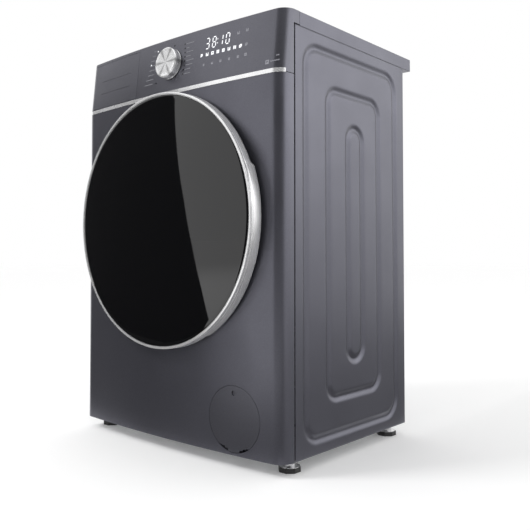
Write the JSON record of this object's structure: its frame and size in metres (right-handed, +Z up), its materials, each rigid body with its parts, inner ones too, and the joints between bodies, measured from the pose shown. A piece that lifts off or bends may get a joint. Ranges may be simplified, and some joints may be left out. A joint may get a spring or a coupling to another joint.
{
  "type": "front load washing machine",
  "caption": "Freestanding front load washing machine with a round glass door, a leaning control fascia with a knob and a detergent drawer, a sprung tub and a belt driven drum.",
  "frame": {"origin": "on the floor under the middle of the bounding box", "axes": "+X to the right seen from the front, +Y to the rear, +Z up; the door faces -Y"},
  "size_m": [0.6, 0.52, 0.85],
  "materials": {
    "cabinet_paint": "satin metallic",
    "fascia_paint": "satin metallic",
    "chrome_trim": "polished",
    "black_glass": "polished, dark",
    "clear_glass": "clear",
    "zinc_sheet": "galvanised",
    "pin_steel": "ground",
    "drum_steel": "polished",
    "spun_aluminium": "spun",
    "cast_aluminium": "as cast",
    "motor_black": "black lacquer",
    "dark_plastic": "fine grain",
    "grey_plastic": "filled polypropylene",
    "white_plastic": "smooth",
    "blue_plastic": "smooth",
    "board_green": "lacquered circuit board",
    "rubber_grey": "matt",
    "rubber_black": "matt",
    "foot_black": "black, rubber soled",
    "concrete": "rough cast"
  },
  "bodies": {
    "cabinet": {"left_side_panel": "cabinet_paint", "right_side_panel": "cabinet_paint", "rear_panel": "zinc_sheet", "rear_cover": "zinc_sheet", "base_tray": "zinc_sheet", "front_panel": "cabinet_paint", "control_fascia": "fascia_paint", "chrome_strip": "chrome_trim", "worktop": "cabinet_paint", "top_frame": "zinc_sheet", "drawer_housing": "white_plastic", "inlet_valve": "white_plastic", "inlet_hoses": "rubber_black", "fill_hose": "rubber_black", "control_board": "board_green", "display_board": "board_green", "door_lock": "dark_plastic", "hinge_bracket": "zinc_sheet", "hinge_pin": "pin_steel", "drain_pump": "dark_plastic", "sump_hose": "rubber_black", "drain_pipe": "grey_plastic", "cord_gland": "dark_plastic", "transit_caps": "dark_plastic", "panel_screws": "pin_steel", "door_gasket": "rubber_grey", "suspension_springs": "pin_steel"},
    "door": {"door_ring": "chrome_trim", "door_glass": "black_glass", "door_frame": "dark_plastic", "door_bowl": "clear_glass", "hinge_arm": "cast_aluminium"},
    "latch": {"latch_hook": "pin_steel"},
    "drawer": {"drawer_front": "fascia_paint", "drawer_tray": "white_plastic", "siphon_cap": "blue_plastic"},
    "knob": {"programme_knob": "spun_aluminium"},
    "tub": {"tub_front": "grey_plastic", "tub_rear": "grey_plastic", "counterweights": "concrete", "drive_motor": "motor_black", "heater": "pin_steel", "shaft_bearings": "pin_steel", "drive_belt": "rubber_black"},
    "drum_assembly": {"drum": "drum_steel", "drum_lifters": "white_plastic", "drum_spider": "cast_aluminium", "drum_pulley": "cast_aluminium"},
    "motor_rotor": {"motor_pulley": "pin_steel"},
    "left_damper_cylinder": {"damper_cylinder_left": "dark_plastic"},
    "left_damper_rod": {"damper_rod_left": "pin_steel"},
    "right_damper_cylinder": {"damper_cylinder_right": "dark_plastic"},
    "right_damper_rod": {"damper_rod_right": "pin_steel"},
    "flap": {"filter_flap": "fascia_paint"},
    "plug": {"filter_plug": "grey_plastic"},
    "impeller": {"pump_impeller": "white_plastic"},
    "front_left_foot": {"foot_front_left": "foot_black"},
    "front_right_foot": {"foot_front_right": "foot_black"},
    "rear_left_foot": {"foot_rear_left": "foot_black"},
    "rear_right_foot": {"foot_rear_right": "foot_black"}
  },
  "joints": [
    {"name": "door_swing", "type": "hinge", "parent": "cabinet", "child": "door", "pos_m": [-0.24, -0.2335, 0.469], "axis": [0, 0, -1], "range_deg": [0, 125]},
    {"name": "latch_release", "type": "hinge", "parent": "door", "child": "latch", "pos_m": [0.19, -0.224, 0.469], "axis": [0, 0, 1], "range_deg": [0, 8], "stiffness_Nm_per_rad": 0.4, "springref_deg": -1.15},
    {"name": "drawer_slide", "type": "slide", "parent": "cabinet", "child": "drawer", "axis": [0, -1, 0], "range_m": [0, 0.2]},
    {"name": "knob_turn", "type": "hinge", "parent": "cabinet", "child": "knob", "pos_m": [0.006, -0.20922, 0.7935], "axis": [0, -0.9948, 0.1018], "continuous": true},
    {"name": "tub_bounce", "type": "slide", "parent": "cabinet", "child": "tub", "axis": [0, 0, 1], "range_m": [-0.01, 0.01], "stiffness_N_per_m": 20000, "springref_m": 0.01229, "deforming": ["suspension_springs", "fill_hose", "sump_hose", "door_gasket"]},
    {"name": "drum_spin", "type": "hinge", "parent": "tub", "child": "drum_assembly", "pos_m": [0, 0, 0.469], "axis": [0, 1, 0], "continuous": true},
    {"name": "motor_spin", "type": "hinge", "parent": "tub", "child": "motor_rotor", "pos_m": [-0.06, 0, 0.142], "axis": [0, 1, 0], "continuous": true},
    {"name": "right_damper_tilt", "type": "hinge", "parent": "cabinet", "child": "right_damper_cylinder", "pos_m": [0.215, 0.06, 0.058], "axis": [0, 1, 0], "range_deg": [-3, 3]},
    {"name": "right_damper_stroke", "type": "slide", "parent": "right_damper_cylinder", "child": "right_damper_rod", "axis": [-0.3283, 0, 0.9446], "range_m": [-0.012, 0.012]},
    {"name": "left_damper_tilt", "type": "hinge", "parent": "cabinet", "child": "left_damper_cylinder", "pos_m": [-0.215, 0.06, 0.058], "axis": [0, 1, 0], "range_deg": [-3, 3]},
    {"name": "left_damper_stroke", "type": "slide", "parent": "left_damper_cylinder", "child": "left_damper_rod", "axis": [0.3283, 0, 0.9446], "range_m": [-0.012, 0.012]},
    {"name": "flap_open", "type": "hinge", "parent": "cabinet", "child": "flap", "pos_m": [0.187, -0.20717, 0.037], "axis": [0.9984, 0.0559, 0], "range_deg": [0, 90]},
    {"name": "plug_turn", "type": "hinge", "parent": "cabinet", "child": "plug", "pos_m": [0.187, -0.19, 0.0925], "axis": [0, 1, 0], "range_deg": [0, 90]},
    {"name": "impeller_spin", "type": "hinge", "parent": "cabinet", "child": "impeller", "pos_m": [0.187, -0.07, 0.0925], "axis": [0, 1, 0], "continuous": true},
    {"name": "front_left_foot_level", "type": "slide", "parent": "cabinet", "child": "front_left_foot", "axis": [0, 0, 1], "range_m": [-0.015, 0]},
    {"name": "front_right_foot_level", "type": "slide", "parent": "cabinet", "child": "front_right_foot", "axis": [0, 0, 1], "range_m": [-0.015, 0]},
    {"name": "rear_left_foot_level", "type": "slide", "parent": "cabinet", "child": "rear_left_foot", "axis": [0, 0, 1], "range_m": [-0.015, 0]},
    {"name": "rear_right_foot_level", "type": "slide", "parent": "cabinet", "child": "rear_right_foot", "axis": [0, 0, 1], "range_m": [-0.015, 0]}
  ],
  "couplings": [
    {"joint": "motor_spin", "follows": "drum_spin", "ratio": 11.5},
    {"joint": "right_damper_tilt", "follows": "tub_bounce", "rad_per_m": 1.6584},
    {"joint": "right_damper_stroke", "follows": "tub_bounce", "ratio": 0.94456},
    {"joint": "left_damper_tilt", "follows": "tub_bounce", "rad_per_m": -1.6584},
    {"joint": "left_damper_stroke", "follows": "tub_bounce", "ratio": 0.94456}
  ]
}
